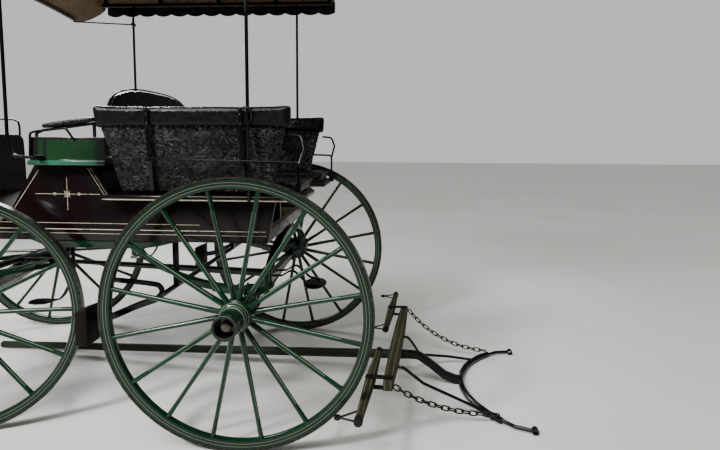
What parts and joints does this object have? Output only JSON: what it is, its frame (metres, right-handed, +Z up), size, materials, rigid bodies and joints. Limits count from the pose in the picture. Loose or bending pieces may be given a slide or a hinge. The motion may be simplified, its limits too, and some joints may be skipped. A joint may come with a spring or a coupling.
{
  "type": "horse-drawn wagonette",
  "caption": "Canopy-top horse-drawn passenger carriage with facing benches, a driver's seat, spoked wheels and its draught pole laid underneath.",
  "frame": {"origin": "on the floor, under the middle of the box round the carriage and its pole", "axes": "+X towards the tail, +Y towards the right side, +Z up"},
  "size_m": [3.7662, 1.7766, 2.415],
  "materials": {
    "black_leather": "aged black leather",
    "maroon_paint": "near-black maroon gloss paint",
    "green_paint": "gloss paint over wood and iron, with pale lines",
    "brake_wood": "worn dark brown wood",
    "black_iron": "black painted iron",
    "bare_wood": "weathered olive paint on wood",
    "floor_wood": "plain boards",
    "canopy_cloth": "black top with a tan lining",
    "steel_tyre": "worn iron tyre"
  },
  "bodies": {
    "carriage": {"bench_backs": "black_leather", "bench_boards": "maroon_paint", "bench_cushions": "black_leather", "bench_risers": "maroon_paint", "body_frame": "maroon_paint", "boot_boards": "maroon_paint", "brake_bar": "green_paint", "brake_blocks": "brake_wood", "canopy_frame": "black_iron", "canopy_posts": "black_iron", "cross_springs": "green_paint", "dash": "black_leather", "dash_rail": "black_iron", "driver_arm_pads": "black_leather", "driver_cushion": "black_leather", "driver_seat_back": "black_leather", "driver_seat_box": "green_paint", "floor_boards": "floor_wood", "front_bed_and_kingpin": "green_paint", "hanger_blocks": "green_paint", "perch": "green_paint", "rear_axle": "green_paint", "roof": "canopy_cloth", "seat_irons": "black_iron", "side_panels": "maroon_paint", "side_springs": "green_paint", "spring_shackles": "green_paint", "steps": "black_iron", "toe_board": "maroon_paint", "valance": "canopy_cloth"},
    "front_gear": {"front_axle": "green_paint", "turntable_lower": "green_paint", "draught_irons": "green_paint"},
    "wheel_rear_left": {"wheel_rear_left": "green_paint", "tyre_rear_left": "steel_tyre"},
    "wheel_rear_right": {"wheel_rear_right": "green_paint", "tyre_rear_right": "steel_tyre"},
    "wheel_front_left": {"wheel_front_left": "green_paint", "tyre_front_left": "steel_tyre"},
    "wheel_front_right": {"wheel_front_right": "green_paint", "tyre_front_right": "steel_tyre"},
    "pole_set": {"pole": "bare_wood", "pole_bow": "black_iron", "doubletree": "bare_wood", "stay_chains": "black_iron"},
    "singletree_left": {"singletree_left": "bare_wood"},
    "singletree_right": {"singletree_right": "bare_wood"}
  },
  "joints": [
    {"name": "steering", "type": "hinge", "parent": "carriage", "child": "front_gear", "pos_m": [-1.13195, 0, 0.6], "axis": [0, 0, 1], "range_deg": [-36, 4]},
    {"name": "rear_left_spin", "type": "hinge", "parent": "carriage", "child": "wheel_rear_left", "pos_m": [0.41605, 0, 0.61], "axis": [0, 1, 0], "continuous": true},
    {"name": "rear_right_spin", "type": "hinge", "parent": "carriage", "child": "wheel_rear_right", "pos_m": [0.41605, 0, 0.61], "axis": [0, 1, 0], "continuous": true},
    {"name": "front_left_spin", "type": "hinge", "parent": "front_gear", "child": "wheel_front_left", "pos_m": [-1.13195, 0, 0.565], "axis": [-0.2756, 0.9613, 0], "continuous": true},
    {"name": "front_right_spin", "type": "hinge", "parent": "front_gear", "child": "wheel_front_right", "pos_m": [-1.13195, 0, 0.565], "axis": [-0.2756, 0.9613, 0], "continuous": true},
    {"name": "pole_draw_out", "type": "slide", "parent": "carriage", "child": "pole_set", "axis": [0.9954, -0.0958, 0], "range_m": [0, 3.2]},
    {"name": "singletree_left_swing", "type": "hinge", "parent": "pole_set", "child": "singletree_left", "pos_m": [0.99861, -0.50917, 0.23], "axis": [0, 0, 1], "range_deg": [-5, 25]},
    {"name": "singletree_right_swing", "type": "hinge", "parent": "pole_set", "child": "singletree_right", "pos_m": [1.09829, 0.52604, 0.23], "axis": [0, 0, 1], "range_deg": [-25, 5]}
  ]
}
